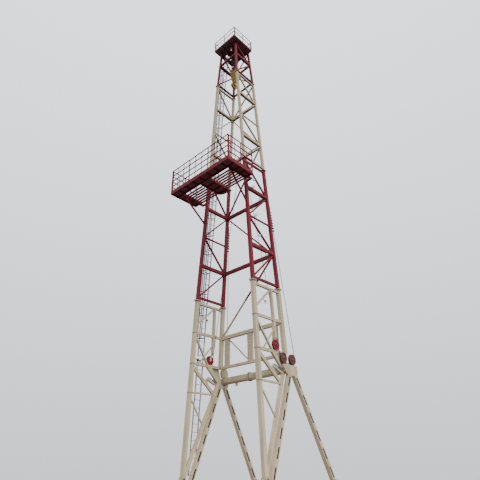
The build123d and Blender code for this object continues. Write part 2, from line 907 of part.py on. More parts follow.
with BuildPart() as walkway:
    with BuildSketch(Plane.XY.offset(board_z)):
        with BuildLine():
            Polyline(
                (-board_half_width, board_rear_y), (-board_half_width, board_front_y),
                (board_half_width, board_front_y), (board_half_width, board_rear_y),
                (walk_inner_x, board_rear_y), (walk_inner_x, walk_inner_y),
                (-walk_inner_x, walk_inner_y), (-walk_inner_x, board_rear_y), close=True,
            )
        make_face()
    extrude(amount=board_depth)
    inner_front_y = board_front_y + board_edge
    inner_rear_y = walk_inner_y - board_edge
    add(
        bays(
            board_edge - board_half_width, board_half_width - board_edge, inner_front_y, inner_rear_y, 8, True,
        ),
        mode=Mode.SUBTRACT,
    )
    for side in (LEFT, RIGHT):
        low_x, high_x = sorted((side * (walk_inner_x + board_edge), side * (board_half_width - board_edge)))
        add(bays(low_x, high_x, walk_inner_y, board_rear_y - board_edge, 3, False), mode=Mode.SUBTRACT)
save(walkway.part, "racking_walkway")

with BuildPart() as tongue:
    with BuildSketch(Plane.XY.offset(board_z)):
        with BuildLine():
            Line((-tongue_half_width, tongue_end_y), (-tongue_half_width, walk_inner_y))
            Line((-tongue_half_width, walk_inner_y), (tongue_half_width, walk_inner_y))
            Line((tongue_half_width, walk_inner_y), (tongue_half_width, tongue_end_y))
            ThreePointArc(
                (tongue_half_width, tongue_end_y), (0, tongue_end_y + tongue_bulge),
                (-tongue_half_width, tongue_end_y),
            )
        make_face()
    extrude(amount=board_depth)
    tongue_inner_x = tongue_half_width - board_edge
    add(
        bays(-tongue_inner_x, tongue_inner_x, walk_inner_y + board_edge, tongue_end_y, 3, False),
        mode=Mode.SUBTRACT,
    )
save(tongue.part, "racking_tongue")

# Fingers: open at the tongue, apart from the last, which closes the board at the back
finger_room = board_rear_y - walk_inner_y
finger_pitch = (finger_room - finger_width) / finger_count
finger_z = board_z + 60
with BuildPart() as fingers:
    for side in (LEFT, RIGHT):
        for i in range(1, finger_count + 1):
            y = walk_inner_y + i * finger_pitch + finger_width / 2
            tip_x = finger_tip_x if i < finger_count else tongue_half_width
            add(
                bar(
                    (side * walk_inner_x, y, finger_z), (side * tip_x, y, finger_z),
                    finger_width, finger_depth,
                )
            )
save(fingers.part, "racking_fingers")

# Racking board rails
rail_top_z = board_top_z + rail_height
rail_heights = [rail_top_z - i * rail_pitch for i in range(4)]
rail_line_x = board_half_width - rail_tube / 2
rail_line_y = board_front_y + rail_tube / 2
toe_top_z = board_top_z + toe_board_height
with BuildPart() as front_rail:
    add(
        rail_panel(
            (-rail_line_x, rail_line_y, 0), (rail_line_x, rail_line_y, 0), board_top_z, rail_top_z,
            rail_heights, 4, rail_tube,
        )
    )
    for i in range(1, 9):
        if i % 3:
            x = rail_line_x * (2 * i / 9 - 1)
            add(post((x, rail_line_y, board_top_z), (x, rail_line_y, rail_top_z), thin_post))
    half = toe_board_thickness / 2
    add(
        block(
            (-rail_line_x, rail_line_y - half, board_top_z), (rail_line_x, rail_line_y + half, toe_top_z),
        )
    )
save(front_rail.part, "racking_rail_front")

for side in (LEFT, RIGHT):
    start_y = rail_line_y + rail_tube + 20
    end_y = board_rear_y - rail_tube / 2
    with BuildPart() as side_rail:
        add(
            rail_panel(
                (side * rail_line_x, start_y, 0), (side * rail_line_x, end_y, 0), board_top_z, rail_top_z,
                rail_heights, 3, rail_tube,
            )
        )
        for share in (1 / 4, 3 / 4):
            y = start_y + (end_y - start_y) * share
            add(post((side * rail_line_x, y, board_top_z), (side * rail_line_x, y, rail_top_z), thin_post))
        add(side_block(side, rail_line_x - half, rail_line_x + half, start_y, end_y, board_top_z, toe_top_z))
    save(side_rail.part, "racking_rail_" + side_name(side))

# Struts and brackets that carry the racking board from the front legs
strut_x = walk_inner_x + 60
bracket_x = walk_inner_x + 200
bracket_z = board_z + board_depth / 2
strut_head_depth = 260
with BuildPart() as board_struts:
    for side in (LEFT, RIGHT):
        board_leg = leg_point(side, "front", bracket_z)
        add(
            [
                bar(
                    (side * strut_x, board_strut_head_y, board_z - 200),
                    leg_point(side, "front", middle_joint_z - board_strut_foot_drop), brace,
                ),
                side_block(
                    side, strut_x - brace / 2, strut_x + brace / 2,
                    board_strut_head_y - 100, board_strut_head_y + 100, board_z - strut_head_depth, board_z,
                ),
                bar(board_leg, (side * bracket_x, board_leg.Y, bracket_z), 120),
                side_block(
                    side, bracket_x - 75, bracket_x + 75, board_rear_y, board_leg.Y + 60,
                    bracket_z - 60, bracket_z + 60,
                ),
            ]
        )
    add(lower_sides, mode=Mode.SUBTRACT)
save(board_struts.part, "racking_struts")


# Ladder outside the left side, following the front leg
def ladder_point(z, shift):
    level = min(z, mast_top_z)
    place = leg_point(LEFT, "front", level)
    return Vector(place.X - ladder_offset, place.Y + ladder_from_leg + shift, z)


ladder_top_z = floor_top_z + ladder_above_platform
ladder_bends = (ladder_foot_z, bottom_joint_z, middle_joint_z, top_joint_z, mast_top_z, ladder_top_z)
ladder_holds = (
    (portal_low_z, side_beam), (portal_top_z, side_beam), (lower_low_ring_z, ring_beam),
    (lower_ring_z, ring_beam), (upper_low_ring_z, ring_beam), (upper_ring_z, ring_beam),
    (crown_ring_z, ring_beam),
)
rung_count = int((platform_z - ladder_foot_z) / rung_pitch)
with BuildPart() as ladder:
    pieces = []
    for shift in (-ladder_gap / 2, ladder_gap / 2):
        for low, high in zip(ladder_bends, ladder_bends[1:]):
            pieces.append(post(ladder_point(low, shift), ladder_point(high, shift), ladder_stile))
        for z, beam in ladder_holds:
            end = ladder_point(z, shift)
            pieces.append(bar((-side_x(z) - beam / 2, end.Y, z), end, ladder_hold))
    for i in range(1, rung_count + 1):
        z = ladder_foot_z + i * rung_pitch
        pieces.append(bar(ladder_point(z, -ladder_gap / 2), ladder_point(z, ladder_gap / 2), ladder_rung))
    add(pieces)
save(ladder.part, "ladder")


# Raising frame
def frame_leg(side, top_y, foot_y):
    """A box leg with slots along its outer and inner faces."""
    foot = Vector(side * frame_foot_x, foot_y, frame_foot_z)
    top = Vector(side * frame_x, top_y, head_foot_z)
    cuts = []
    for i in range(leg_slot_count):
        start = foot + (top - foot) * ((i + 0.3) / leg_slot_count)
        end = foot + (top - foot) * ((i + 0.9) / leg_slot_count)
        for face in (-1, 1):
            shift = Vector(face * frame_leg_width / 2, 0, 0)
            cuts.append(post(start + shift, end + shift, 2 * leg_slot_depth, leg_slot_width))
    return post(foot, top, frame_leg_width, frame_leg_depth), cuts


for side in (LEFT, RIGHT):
    with BuildPart() as frame_head:
        with BuildSketch(Plane.YZ.offset(side * frame_x - head_thickness / 2)):
            with BuildLine():
                Polyline(
                    (head_y - 410, head_foot_z), (head_y + 320, head_foot_z), (head_y + 420, head_z - 100),
                    (head_y + 380, head_top_z), (head_y - head_nose, head_top_z),
                    (head_y - head_nose, head_top_z - 170), (head_y - 560, head_z - 130), close=True,
                )
            head_face = make_face()
            fillet(head_face.vertices(), head_corner)
        extrude(amount=head_thickness)
        add(
            side_rod(
                side, head_inner_x, head_inner_x + head_thickness, support_y, support_z, 1.1 * support_pin,
            )
        )
    save(frame_head.part, "frame_head_" + side_name(side))
    leg_ends = (
        ("front", head_y - front_leg_offset, front_leg_foot_y),
        ("rear", head_y + rear_leg_offset, rear_leg_foot_y),
    )
    for name, top_y, foot_y in leg_ends:
        body, cuts = frame_leg(side, top_y, foot_y)
        with BuildPart() as leg_part:
            add(body)
            add(cuts, mode=Mode.SUBTRACT)
        save(leg_part.part, "frame_" + name + "_leg_" + side_name(side))

cross_tube_z = head_z + cross_tube_rise
tube_radius = cross_tube_diameter / 2
flange_radius = tube_radius + tube_flange
with BuildPart() as cross_tube:
    add(
        [
            rod((-head_inner_x, cross_tube_y, cross_tube_z), (head_inner_x, cross_tube_y, cross_tube_z), tube_radius),
            rod(
                (tube_flange_joint_x - tube_flange, cross_tube_y, cross_tube_z),
                (tube_flange_joint_x + tube_flange, cross_tube_y, cross_tube_z), flange_radius,
            ),
            rod(
                (tube_stub_x, cross_tube_y, cross_tube_z - tube_radius - 150),
                (tube_stub_x, cross_tube_y, cross_tube_z), tube_flange * 1.5,
            ),
        ]
    )
    for side in (LEFT, RIGHT):
        add(side_rod(side, head_inner_x - tube_flange, head_inner_x, cross_tube_y, cross_tube_z, flange_radius))
save(cross_tube.part, "frame_cross_tube")

# Guide sheaves, and the plates and pins that carry those on the frame heads
for side in (LEFT, RIGHT):
    for name, (x, y, z) in (("mast", mast_guide), ("front", front_guide), ("rear", rear_guide)):
        with BuildPart() as guide:
            add(sheave((side * x, y, z), guide_radius, guide_width, guide_bore + pin_clearance, rope_diameter))
        save(guide.part, "guide_sheave_" + name + "_" + side_name(side))

    with BuildPart() as guide_mounts:
        for x, y, z in (front_guide, rear_guide):
            near = x - guide_gap - guide_plate
            far = x + guide_gap + washer_thickness
            seat_y = max(y, head_y - head_nose + guide_seat / 2 + head_corner)
            add(eye_plate(side, near, x - guide_gap, (y, z), guide_guard, seat_y, head_top_z, guide_seat))
            add(side_rod(side, near, far, y, z, guide_bore))
            add(side_rod(side, x + guide_gap, far, y, z, guide_eye))
    save(guide_mounts.part, "guide_forks_" + side_name(side))


# Skid base
mast_foot = (foot_half_width, foot_front_y, foot_z, bottom_leg, bottom_leg)
front_foot = (frame_foot_x, front_leg_foot_y, frame_foot_z, frame_leg_width, frame_leg_depth)
rear_foot = (frame_foot_x, rear_leg_foot_y, frame_foot_z, frame_leg_width, frame_leg_depth)
cross_beam_ys = (skid_front_y + front_beam_inset, 0, rear_leg_foot_y / 2, rear_leg_foot_y)
for side in (LEFT, RIGHT):
    center_x = side * skid_x
    with BuildPart() as skid:
        with BuildSketch(Plane(origin=(center_x, skid_front_y, 0), x_dir=(-1, 0, 0), z_dir=(0, 1, 0))):
            for z in (skid_flange / 2, skid_height - skid_flange / 2):
                with Locations((0, z)):
                    Rectangle(skid_width, skid_flange)
            with Locations((0, skid_height / 2)):
                Rectangle(skid_web, skid_height)
        extrude(amount=skid_back_y - skid_front_y)
        for y in cross_beam_ys:
            add(
                side_block(
                    side, skid_x - skid_width / 2, skid_x,
                    y - cross_beam_width / 2, y + cross_beam_width / 2, skid_flange, skid_height - skid_flange,
                )
            )
        for y in (foot_front_y, front_leg_foot_y, rear_leg_foot_y):
            add(
                side_block(
                    side, skid_x, skid_x + skid_width / 2, y - stiffener / 2, y + stiffener / 2,
                    skid_flange, skid_height - skid_flange,
                )
            )
        for end_y, inward in ((skid_front_y, 1), (skid_back_y, -1)):
            with BuildSketch(Plane.YZ.offset(center_x - skid_width / 2)):
                with BuildLine():
                    Polyline((end_y, 0), (end_y + inward * skid_nose, 0), (end_y, skid_nose), close=True)
                make_face()
            extrude(amount=skid_width, mode=Mode.SUBTRACT)
            add(
                bar(
                    (center_x, end_y + inward * skid_nose, skid_flange / 2), (center_x, end_y, skid_nose),
                    skid_width, skid_flange,
                )
            )
        split(bisect_by=Plane.XY, keep=Keep.TOP)
    save(skid.part, "skid_" + side_name(side))

with BuildPart() as cross_beams:
    for y in cross_beam_ys:
        beam_end_x = skid_x - skid_width / 2
        with BuildSketch(Plane(origin=(-beam_end_x, y, 0), x_dir=(0, 1, 0), z_dir=(1, 0, 0))):
            for z in (cross_beam_flange / 2, skid_height - cross_beam_flange / 2):
                with Locations((0, z)):
                    Rectangle(cross_beam_width, cross_beam_flange)
            with Locations((0, skid_height / 2)):
                Rectangle(cross_beam_flange, skid_height)
        extrude(amount=2 * beam_end_x)
save(cross_beams.part, "skid_cross_beams")

# Foot shoes between the skids and the legs
def foot_shoe(side, x, y, z, width, depth):
    """A tapered pedestal under a leg, with two lugs."""
    with BuildSketch(Plane.XY.offset(skid_height), mode=Mode.PRIVATE) as base:
        with Locations((side * x, y)):
            Rectangle(width + shoe_margin, shoe_length)
    with BuildSketch(Plane.XY.offset(z), mode=Mode.PRIVATE) as seat:
        with Locations((side * x, y)):
            Rectangle(width, depth)
    pieces = [loft([base.sketch, seat.sketch], mode=Mode.PRIVATE)]
    low_y, high_y = y - depth / 2, y + depth / 2
    for face in (-1, 1):
        near = x + face * (width / 2 + shoe_lug_gap)
        far = near + face * shoe_lug
        lug_z = z - 2 * shoe_lug_above
        pieces += [
            side_block(side, near, far, low_y, high_y, lug_z, z + shoe_lug_above),
            side_block(side, x, far, low_y, high_y, lug_z, z - shoe_lug_above),
        ]
    return pieces


with BuildPart() as shoes:
    pieces = []
    for side in (LEFT, RIGHT):
        for foot in (mast_foot, front_foot, rear_foot):
            pieces += foot_shoe(side, *foot)
    add(pieces)
save(shoes.part, "foot_shoes")

# Yoke that holds the upper ends of the raising lines
yoke_z = upper_low_ring_z - yoke_drop
yoke_reach = yoke_half_width + rope_diameter
ring_face_y = back_y - ring_beam / 2
with BuildPart() as yoke:
    add(
        [
            block(
                (-yoke_reach, yoke_y - yoke_depth / 2, yoke_z),
                (yoke_reach, yoke_y + yoke_depth / 2, yoke_z + yoke_height),
            ),
            block(
                (-hanger_width / 2, yoke_y - hanger_depth / 2, yoke_z),
                (hanger_width / 2, yoke_y + hanger_depth / 2, upper_low_ring_z + ring_beam / 2),
            ),
            block(
                (-hanger_width / 2, yoke_y, upper_low_ring_z - ring_beam / 2),
                (hanger_width / 2, ring_face_y, upper_low_ring_z + ring_beam / 2),
            ),
        ]
    )
save(yoke.part, "raising_line_yoke")


# Raising lines: anchor, rear guide, front guide, mast guide, yoke
def rope_run(start, end):
    """A straight stretch of rope."""
    run = Vector(end) - Vector(start)
    with BuildSketch(Plane(origin=start, x_dir=(1, 0, 0), z_dir=run), mode=Mode.PRIVATE) as section:
        RegularPolygon(rope_diameter / 2, rope_sides)
    return extrude(section.sketch, amount=run.length, mode=Mode.PRIVATE)


def rope_wrap(center, radius, from_angle, turn):
    """Rope round a sheave; angles in degrees from +Y towards +Z."""
    a = radians(from_angle)
    start = Vector(center) + Vector(0, radius * cos(a), radius * sin(a))
    heading = (0, -sin(a), cos(a))
    with BuildSketch(Plane(origin=start, x_dir=(1, 0, 0), z_dir=heading), mode=Mode.PRIVATE) as section:
        RegularPolygon(rope_diameter / 2, rope_sides)
    return revolve(section.sketch, axis=Axis(center, (1, 0, 0)), revolution_arc=turn, mode=Mode.PRIVATE)


line_r = rope_radius(guide_radius, rope_diameter)
mast_line_r = line_r + rope_ease
for side in (LEFT, RIGHT):
    rear = Vector(side * rear_guide[0], rear_guide[1], rear_guide[2])
    front = Vector(side * front_guide[0], front_guide[1], front_guide[2])
    mast = Vector(side * mast_guide[0], mast_guide[1], mast_guide[2])
    anchor = anchor_point(side) + Vector(0, -rope_diameter / 2, rope_seat)
    yoke_end = Vector(side * yoke_half_width, yoke_y, yoke_z + rope_seat)
    with BuildPart() as raising_line:
        add(
            [
                rope_run(rear + Vector(0, line_r, 0), anchor),
                rope_wrap(rear, line_r, 0, -90),
                rope_run(rear - Vector(0, 0, line_r), front - Vector(0, 0, line_r)),
                rope_wrap(front, line_r, -90, -90),
                rope_run(front - Vector(0, line_r, 0), mast + Vector(0, mast_line_r, 0)),
                rope_run(mast + Vector(0, mast_line_r, 0), yoke_end),
            ]
        )
        add([lower_sides[0 if side == LEFT else 1], yoke.part], mode=Mode.SUBTRACT)
    save(raising_line.part, "raising_line_" + side_name(side))
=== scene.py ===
"""Looks of the water well drilling rig: paint, fastenings, ropes' fittings, camera and light."""

import json
from math import cos, pi, radians, sin

import bmesh
import bpy
from mathutils import Matrix, Vector


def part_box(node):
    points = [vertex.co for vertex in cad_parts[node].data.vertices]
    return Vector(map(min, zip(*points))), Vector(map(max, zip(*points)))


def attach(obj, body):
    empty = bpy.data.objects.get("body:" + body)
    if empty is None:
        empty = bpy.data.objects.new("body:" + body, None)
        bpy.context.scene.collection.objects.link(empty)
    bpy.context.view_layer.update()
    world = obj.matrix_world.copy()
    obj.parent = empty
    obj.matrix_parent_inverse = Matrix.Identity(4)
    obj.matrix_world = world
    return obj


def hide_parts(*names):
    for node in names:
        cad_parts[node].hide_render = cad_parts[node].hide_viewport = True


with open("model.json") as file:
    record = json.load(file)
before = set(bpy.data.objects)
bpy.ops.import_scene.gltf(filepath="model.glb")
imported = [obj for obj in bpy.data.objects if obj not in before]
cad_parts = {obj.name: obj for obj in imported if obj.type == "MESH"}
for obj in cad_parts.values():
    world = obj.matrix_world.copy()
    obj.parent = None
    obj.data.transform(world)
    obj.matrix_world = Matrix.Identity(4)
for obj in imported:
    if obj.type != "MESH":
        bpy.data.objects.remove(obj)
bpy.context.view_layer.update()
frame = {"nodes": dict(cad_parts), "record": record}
nodes = frame["nodes"]

# Camera, at the photograph's place and angle
camera_place = Vector((16.19, -17.04, 1.60))
camera_azimuth = radians(43.10)
camera_elevation = radians(31.705)
camera_roll = radians(-1.045)
image_width = 480
focal_pixels = 411.44
optical_centre = (239.39, 214.26)
sensor_width = 36
view_reach = 500

# Floor, sky and sun; each sky is two heights, from 0 straight down to 1 straight up, with colours
floor_radius = 18
floor_sides = 96
floor_centre = (0, 1.2, -0.001)
floor_colour = (0.45, 0.45, 0.445, 1)
floor_roughness = 0.9
sky_seen = ((0.50, (1.05, 1.09, 1.13)), (0.90, (1.75, 1.86, 2.02)))
sky_light = ((0.45, (0.045, 0.045, 0.045)), (0.55, (1.05, 1.09, 1.15)))
sun_strength = 2.6
sun_width = radians(25)
sun_run = Vector((-0.62, 0.22, -0.75))

# Weathering and painted shade; a range is the pair of values between which a mask goes from none to
# full
coarse_detail = 6
fine_detail = 5
streak_stretch = (2.4, 2.4, 0.28)
streak_scale = 1.6
streak_range = (0.46, 0.78)
streak_share = 0.9
patch_scale = 1.1
# Painted shade: faces that look down are darkened towards each paint's second colour
underside_shade_range = (-0.3, -0.95)
underside_shade_share = 0.85
# Painted shade: recesses that ambient occlusion finds are darkened the same way
recess_shade_range = (0.75, 0.35)
recess_shade_share = 0.9
recess_shade_reach = 0.14
edge_range = (0.99, 0.85)
chip_width = 0.012
chip_scale = 9
chip_range = (0.52, 0.62)
rough_below = 0.1
rough_above = 0.15
grain_scale = 45
paint_bump = (0.8, 0.006)
tread_turns = (45, -45)
tread_scale = 9
tread_range = (0.6, 0.8)
ray_samples = 4

# Wire rope's look
rope_metal = 0.2
rope_rough = 0.6
strand_scale = 14
strand_waver = 0.4
strand_bump = (0.7, 0.004)
grease_scale = 3

# Mesh building
smooth_limit = radians(35)
nearly_parallel = 0.99
pipe_seam = Vector((0.3, 1, 0.2)).normalized()

# Sizes shared with the solids; leg Ys are foot and head, buffer ends are Y and Z
leg_half = {"mast_bottom": 0.105, "mast_lower": 0.095, "mast_upper": 0.085, "crown_section": 0.075}
collar_margin = 0.055
collar_thickness = 0.04
ladder_offset = 0.25
ladder_from_leg = 0.80
ladder_half_gap = 0.21
rope_radius = 0.016
rope_anchor_drop = 3.39
rope_anchor_out = 0.12
block_shaft_rise = 0.90
block_cap = 0.02
frame_foot_x = 2.66
frame_foot_z = 0.90
frame_head_x = 2.59
frame_leg_size = (0.22, 0.24)
front_leg_ys = (-0.93, 1.00)
rear_leg_ys = (4.00, 1.49)
leg_slot_count = 6
leg_slot_ends = (0.3, 0.9)
mast_foot = (2.73, -1.35, 1.10)
shoe_lug_out = 0.056
tube_joint_x = -0.43
tube_flange_half = 0.05
tube_flange_radius = 0.25
post_face_y = 0.92
post_xs = (-1.88, 0, 1.88)
buffer_support_z = 6.60
buffer_front = (-0.10, 6.01)
buffer_rear = (0.47, 5.77)

# Bolts: radius and height of a head of size 1, shares of them, and each place's size
bolt_radius = 0.019
bolt_height = 0.020
washer_reach = 1.35
washer_share = 0.18
head_shoulder = 0.8
head_crown = 0.84
joint_bolt = 0.9
flange_bolt = 0.9
flange_bolt_ring = 0.225
flange_bolt_count = 12
pin_nut = 2.0
pin_nut_out = 0.018
keeper_bolt = 0.45
keeper_ring = 0.049
keeper_count = 4

# Ladder's cage
cage_start = 0.12
cage_depth = 0.45
cage_half_width = 0.30
cage_strap = 0.06
cage_plate = 0.008
cage_pitch = 1.40
cage_foot_z = 8.40
cage_strips = 5
hoop_steps = 10

# Rope clips
clip_pitch = 0.20
clip_count = 8
clip_top_z = 15.90
clip_length = 0.08
clip_wall = 0.016
clip_taper = 0.014
clip_stud_y = 0.036
clip_stud_back = 0.06
clip_stud_length = 0.13
clip_stud_radius = 0.010
clip_nut_out = 0.095
clip_nut = 1.1
clip_saddle = (0.07, 0.12, 0.024)

# Lamps: profiles of radius and height, then mounts and heads
lamp_bell = ((0.030, 0), (0.055, 0.015), (0.055, 0.09), (0.095, 0.15), (0.10, 0.165), (0.08, 0.17))
lamp_lens = ((0.078, 0), (0.065, 0.03), (0.03, 0.048))
lamp_back = 0.10
lamp_sides = 14
side_lamp_size = 0.95
brace_lamp_size = 0.9
knee_lamp_size = 1.3
lamp_arm = (0.045, 0.014)
lamp_plate = (0.09, 0.012)
side_lamps = (
    ((1.84, -0.07, 18.08), (1.91, -0.33, 17.84)), ((1.95, -0.60, 17.04), (2.10, -0.62, 17.02)),
    ((1.96, 0.27, 16.26), (2.03, 0.07, 16.44)), ((2.05, -0.58, 14.80), (2.19, -0.60, 14.86)),
    ((2.12, -0.15, 13.75), (2.21, -0.37, 13.53)), ((2.24, 0.07, 12.60), (2.32, 0.07, 12.38)),
)
side_lamp_aim = (0.5, -0.4, -1)
brace_lamp = ((2.31, -0.46, 9.47), (2.36, -0.31, 9.33))
brace_lamp_aim = (0.3, -0.3, -1)
knee_lamp = ((-2.45, -0.68, 6.93), (-2.47, -0.86, 7.00))
knee_lamp_aim = (0.4, -0.6, 0.7)
bar_lamp_place = (0.15, -0.42)
bar_lamp_drop = 0.18
bar_lamp_profile = ((0.03, 0), (0.045, 0.02), (0.045, 0.32), (0.03, 0.34))
bar_lamp_hanger_x = 0.11
bar_lamp_hanger = (0.04, 0.05, 0.15)

# Slots of the raising frame's legs, with dark sheets on their floors as painted shade
leg_slot_width = 0.105
leg_slot_sink = 0.015
# Thickness of the dark sheet of painted shade on each slot's floor
shade_sheet_thickness = 0.002

# Rows of holes in the portal's posts, drawn as thin dark discs of painted shade
hole_columns = (-0.09, 0.09)
hole_rows = 8
hole_foot = 0.30
hole_pitch = 0.175
hole_radius = 0.022
hole_rim = 0.002

# Travelling block
cheek_bolt = 0.8
cheek_bolt_ring = 0.17
cheek_bolt_count = 8
shaft_nut = 2.4
spine_bolt = 1.1
spine_rises = (-0.70, -0.45, 0.50, 0.80)
guard_inset = 0.022
guard_foot = (0.075, 0.10)
guard_from = -18
guard_step = 6
guard_count = 9
guard_plate = 0.008
guard_lip = 0.012
guard_foot_slope = -0.4

# Foot shoes' pins, guard rails' feet
shoe_pin_rise = 0.05
shoe_pin_profile = ((0.075, 0), (0.075, 0.008), (0.055, 0.010), (0.055, 0.026), (0.050, 0.030))
rail_post_inset = (0.06, 0.05)
rail_foot = (0.12, 0.09, 0.012)
rail_bolt = 0.5
rail_bolt_x = 0.045
rail_bolt_y = 0.02

# Buffer cylinders' pipes: heights are from the cylinder's middle line
pipe_seat = 0.06
pipe_elbow = 0.10
pipe_rise = 0.14
pipe_turn = 0.04
pipe_inset = 0.05
pipe_radius = 0.030
pipe_nut = ((0.040, 0), (0.040, 0.02), (0.034, 0.03))
pipe_clamp = (0.03, 0.075, 0.105)
pipe_clamp_shares = (0.3, 0.7)

# Colours of the paints
bare = (0.10, 0.06, 0.045)
rust = (0.20, 0.11, 0.065)
red = (0.205, 0.009, 0.020)
# Second colour of the red paints: their streak grime and their painted shade below and in recesses
red_dirt_and_shade = (0.085, 0.021, 0.027)
glow_colour = (1, 1, 0.96, 1)
glow_strength = 0.5


def make_camera():
    data = bpy.data.cameras.new("camera")
    camera = bpy.data.objects.new("camera", data)
    bpy.context.collection.objects.link(camera)
    forward = Vector(
        (
            -sin(camera_azimuth) * cos(camera_elevation),
            cos(camera_azimuth) * cos(camera_elevation),
            sin(camera_elevation),
        )
    )
    level = Vector((cos(camera_azimuth), sin(camera_azimuth), 0))
    upright = level.cross(forward)
    right = cos(camera_roll) * level + sin(camera_roll) * upright
    up = cos(camera_roll) * upright - sin(camera_roll) * level
    turn = Matrix((right, up, -forward)).transposed()
    camera.matrix_world = Matrix.Translation(camera_place) @ turn.to_4x4()
    data.sensor_fit = "HORIZONTAL"
    data.sensor_width = sensor_width
    data.lens = focal_pixels / image_width * sensor_width
    data.shift_x = (image_width / 2 - optical_centre[0]) / image_width
    data.shift_y = (optical_centre[1] - image_width / 2) / image_width
    data.clip_end = view_reach
    bpy.context.scene.camera = camera


def new_material(name):
    """A new material, with its node tree and its shader."""
    material = bpy.data.materials.new(name)
    material.use_nodes = True
    return material, material.node_tree, material.node_tree.nodes["Principled BSDF"]


# Floor, sky and light
def make_floor():
    mesh = bpy.data.meshes.new("floor")
    corners = []
    for i in range(floor_sides):
        a = 2 * pi * i / floor_sides
        corners.append((floor_radius * cos(a), floor_radius * sin(a), 0))
    mesh.from_pydata(corners, [], [tuple(range(floor_sides))])
    floor = bpy.data.objects.new("floor", mesh)
    bpy.context.collection.objects.link(floor)
    floor.location = floor_centre
    material, _, shader = new_material("floor")
    shader.inputs["Base Color"].default_value = floor_colour
    shader.inputs["Roughness"].default_value = floor_roughness
    mesh.materials.append(material)


def pale_ramp(tree, height, stops):
    """Colours against the height that a ray looks up or down."""
    node = tree.nodes.new("ShaderNodeValToRGB")
    for element, (position, colour) in zip(node.color_ramp.elements, stops):
        element.position = position
        element.color = (*colour, 1)
    tree.links.new(height, node.inputs[0])
    return node.outputs["Color"]


def make_sky():
    """A world that gives little light from below the horizon, and shows the camera a pale sky."""
    world = bpy.data.worlds.new("studio")
    bpy.context.scene.world = world
    world.use_nodes = True
    tree = world.node_tree
    place = tree.nodes.new("ShaderNodeTexCoord")
    split = tree.nodes.new("ShaderNodeSeparateXYZ")
    tree.links.new(place.outputs["Generated"], split.inputs[0])
    height = remap(tree, split.outputs["Z"], -1, 1)
    seen = pale_ramp(tree, height, sky_seen)
    light = pale_ramp(tree, height, sky_light)
    camera_ray = tree.nodes.new("ShaderNodeLightPath").outputs["Is Camera Ray"]
    sky = blend_colour(tree, camera_ray, light, seen)
    tree.links.new(sky, tree.nodes["Background"].inputs["Color"])


def make_sun():
    sun = bpy.data.lights.new("sun", "SUN")
    sun.energy = sun_strength
    sun.angle = sun_width
    lamp_object = bpy.data.objects.new("sun", sun)
    bpy.context.collection.objects.link(lamp_object)
    lamp_object.rotation_euler = sun_run.to_track_quat("-Z", "Y").to_euler()


# Node helpers
def noise(tree, vector, scale, detail):
    texture = tree.nodes.new("ShaderNodeTexNoise")
    texture.inputs["Scale"].default_value = scale
    texture.inputs["Detail"].default_value = detail
    tree.links.new(vector, texture.inputs["Vector"])
    return texture.outputs["Fac"]


def remap(tree, value, low_value, high_value, to_low=0.0, to_high=1.0):
    node = tree.nodes.new("ShaderNodeMapRange")
    node.inputs["From Min"].default_value = low_value
    node.inputs["From Max"].default_value = high_value
    node.inputs["To Min"].default_value = to_low
    node.inputs["To Max"].default_value = to_high
    tree.links.new(value, node.inputs["Value"])
    return node.outputs["Result"]


def calc(tree, operation, first, second):
    node = tree.nodes.new("ShaderNodeMath")
    node.operation = operation
    for socket, value in zip(node.inputs, (first, second)):
        if isinstance(value, (int, float)):
            socket.default_value = value
        else:
            tree.links.new(value, socket)
    return node.outputs[0]


def blend_colour(tree, factor, first, second):
    node = tree.nodes.new("ShaderNodeMix")
    node.data_type = "RGBA"
    for name, colour in (("A", first), ("B", second)):
        if isinstance(colour, tuple):
            node.inputs[name].default_value = (*colour, 1)
        else:
            tree.links.new(colour, node.inputs[name])
    tree.links.new(factor, node.inputs["Factor"])
    return node.outputs["Result"]


def edge_mask(tree, width):
    """Where the surface turns over an edge: 1 on the edge, 0 on the flats."""
    rounded = tree.nodes.new("ShaderNodeBevel")
    rounded.samples = ray_samples
    rounded.inputs["Radius"].default_value = width
    flat = tree.nodes.new("ShaderNodeNewGeometry")
    dot = tree.nodes.new("ShaderNodeVectorMath")
    dot.operation = "DOT_PRODUCT"
    tree.links.new(rounded.outputs["Normal"], dot.inputs[0])
    tree.links.new(flat.outputs["True Normal"], dot.inputs[1])
    return remap(tree, dot.outputs["Value"], *edge_range)


def add_bump(tree, shader, height, strength, distance):
    bump = tree.nodes.new("ShaderNodeBump")
    bump.inputs["Strength"].default_value = strength
    bump.inputs["Distance"].default_value = distance
    tree.links.new(height, bump.inputs["Height"])
    tree.links.new(bump.outputs["Normal"], shader.inputs["Normal"])


# Materials
def streaks_and_painted_shade_mask(tree, place, patches, slope):
    """Rain streaks in patches, which are grime, and painted shade on faces that look down and in
    recesses.
    """
    stretch = tree.nodes.new("ShaderNodeMapping")
    stretch.inputs["Scale"].default_value = streak_stretch
    tree.links.new(place, stretch.inputs[0])
    runs = noise(tree, stretch.outputs[0], streak_scale, coarse_detail)
    streaks = remap(tree, runs, *streak_range, 0, streak_share)
    # Painted shade: darker where the face looks down, and where ambient occlusion finds a recess
    under = remap(tree, slope, *underside_shade_range, 0, underside_shade_share)
    corner = tree.nodes.new("ShaderNodeAmbientOcclusion")
    corner.samples = ray_samples
    corner.inputs["Distance"].default_value = recess_shade_reach
    recess = remap(tree, corner.outputs["AO"], *recess_shade_range, 0, recess_shade_share)
    below = calc(tree, "MAXIMUM", under, recess)
    return calc(tree, "MAXIMUM", calc(tree, "MULTIPLY", streaks, patches), below)


